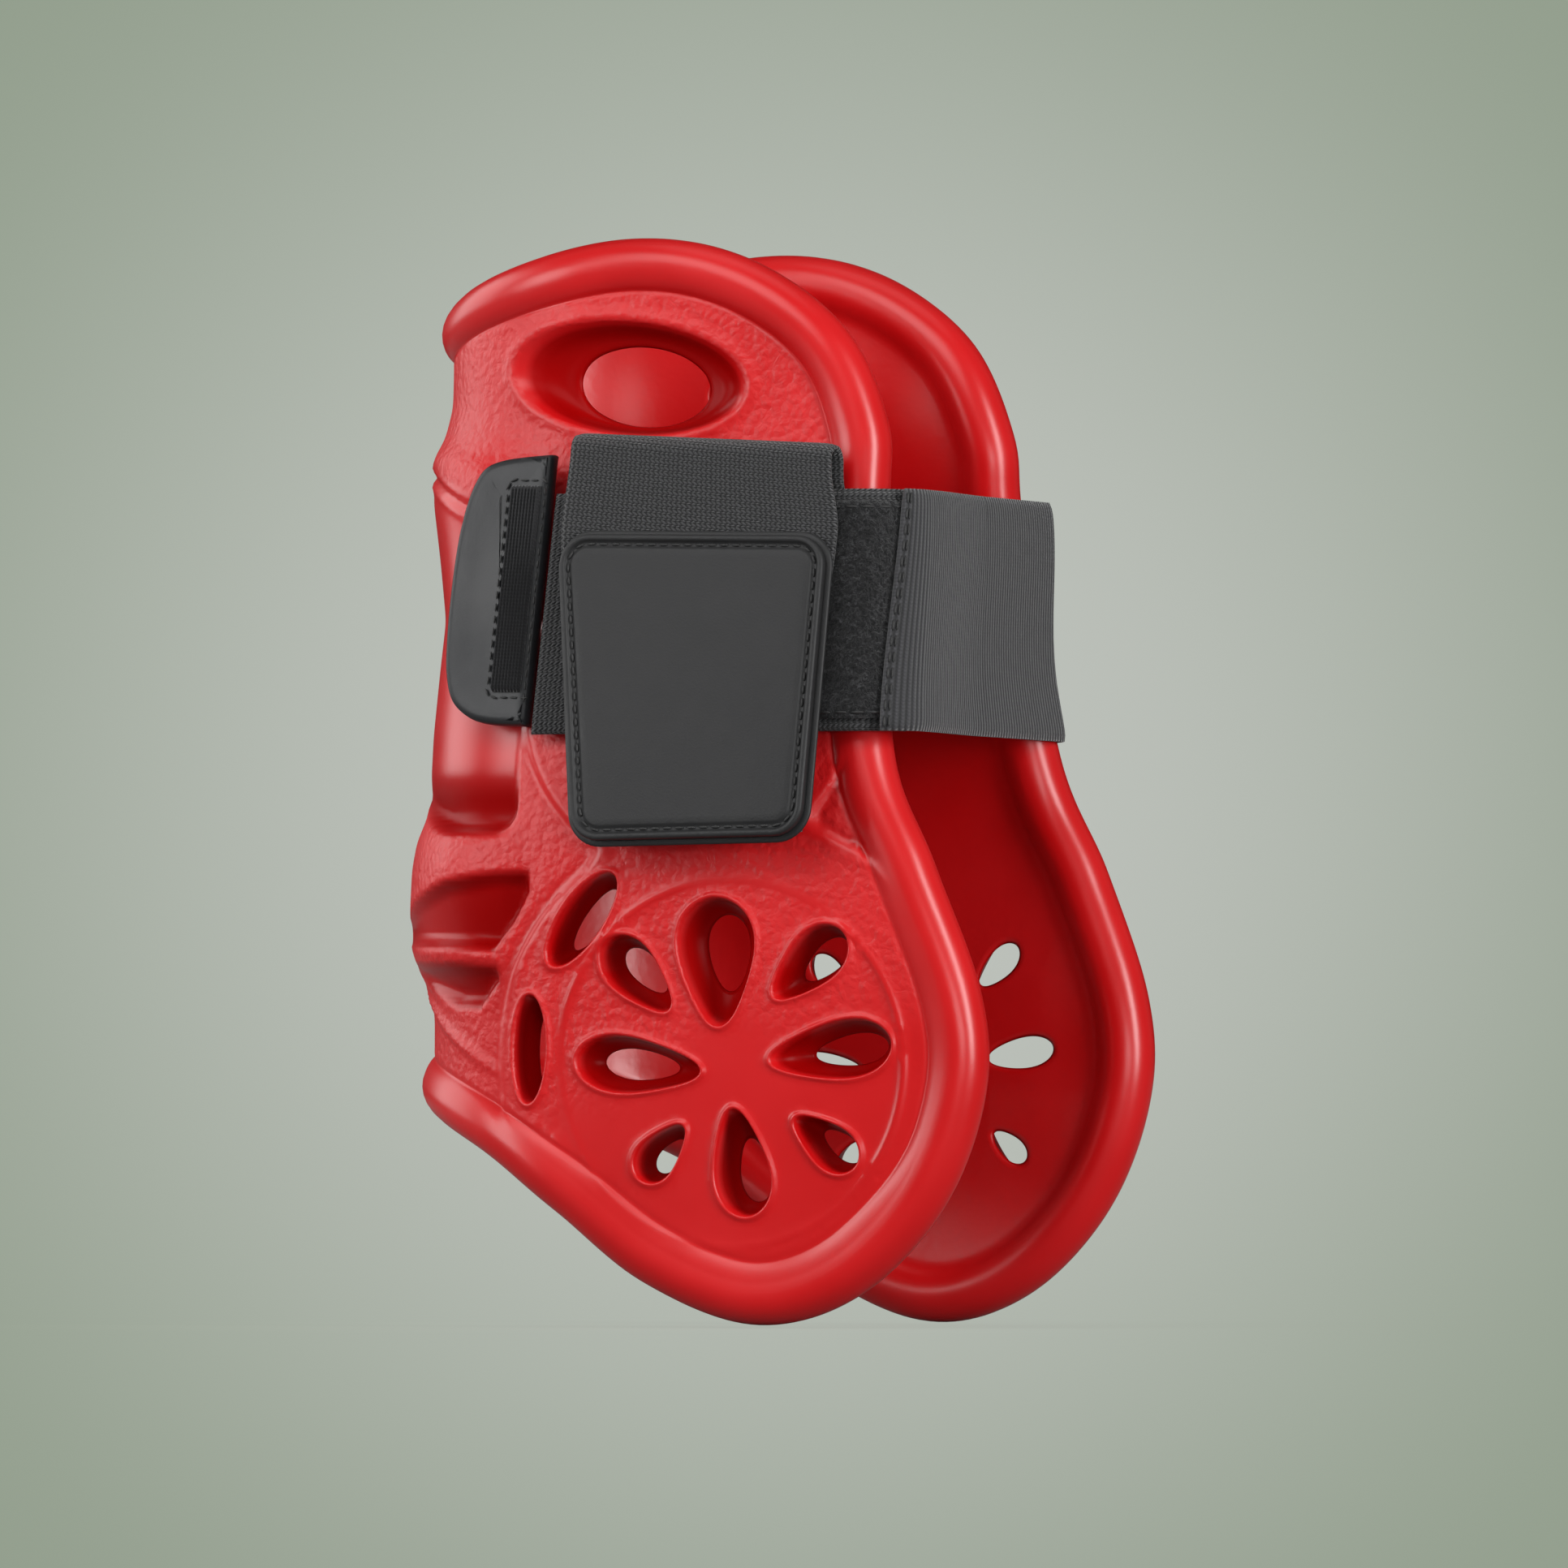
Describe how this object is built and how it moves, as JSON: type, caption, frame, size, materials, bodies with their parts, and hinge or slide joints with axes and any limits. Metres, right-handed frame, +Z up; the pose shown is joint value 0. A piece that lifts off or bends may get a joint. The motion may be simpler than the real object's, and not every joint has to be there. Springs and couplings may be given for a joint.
{
  "type": "fetlock boot",
  "caption": "Moulded red fetlock boot: a U-shaped vented shell with a beaded edge, closed across its open front by an elastic strap with a lock tab and a rubber pull.",
  "frame": {"origin": "on the leg's axis, at the middle of the strap's height", "axes": "+X from the spine behind the leg to the open front, -Y to the near wing with the closure, +Z up the leg"},
  "size_m": [0.1155, 0.0969, 0.1804],
  "materials": {
    "red_foam": "grained satin skin on closed-cell moulded foam",
    "black_webbing": "woven webbing",
    "black_tape": "hook and loop tape",
    "black_elastic": "ribbed woven elastic",
    "grey_rubber": "soft satin",
    "glossy_rubber": "smooth gloss",
    "steel": "plated"
  },
  "bodies": {
    "moulding": {"shell": "red_foam", "near_hook_pad": "black_tape", "elastic_anchor": "black_elastic", "rivet_upper": "steel", "rivet_lower": "steel", "washer_upper": "steel", "washer_lower": "steel"},
    "strap_bridge": {"elastic_band": "black_elastic"},
    "strap_closure": {"closure_webbing": "black_webbing", "outer_loop_tape": "black_tape", "inner_hook_tape": "black_tape", "lock_tab_back": "black_webbing"},
    "lock_flap": {"lock_tab_front": "black_webbing", "lock_hook_tape": "black_tape", "label_backing": "grey_rubber", "label_patch": "grey_rubber"},
    "pull": {"grip_tip": "glossy_rubber", "grip_strip": "black_webbing"}
  },
  "joints": [
    {"name": "strap_swing", "type": "hinge", "parent": "moulding", "child": "strap_bridge", "pos_m": [0.05753, 0.0308, 0], "axis": [-0.0846, -0.1751, 0.9809], "range_deg": [0, 150]},
    {"name": "strap_peel", "type": "hinge", "parent": "strap_bridge", "child": "strap_closure", "pos_m": [0.06117, -0.03095, 0], "axis": [-0.0418, 0.1756, 0.9836], "range_deg": [0, 95]},
    {"name": "lock_tab_lift", "type": "hinge", "parent": "strap_closure", "child": "lock_flap", "pos_m": [0.02602, -0.04073, 0.02573], "axis": [-0.9999, -0.0168, 0], "range_deg": [0, 150]},
    {"name": "grip_lift", "type": "hinge", "parent": "strap_closure", "child": "pull", "pos_m": [-0.00234, -0.04147, 0.00306], "axis": [-0.0023, 0.1348, 0.9909], "range_deg": [0, 60]}
  ]
}
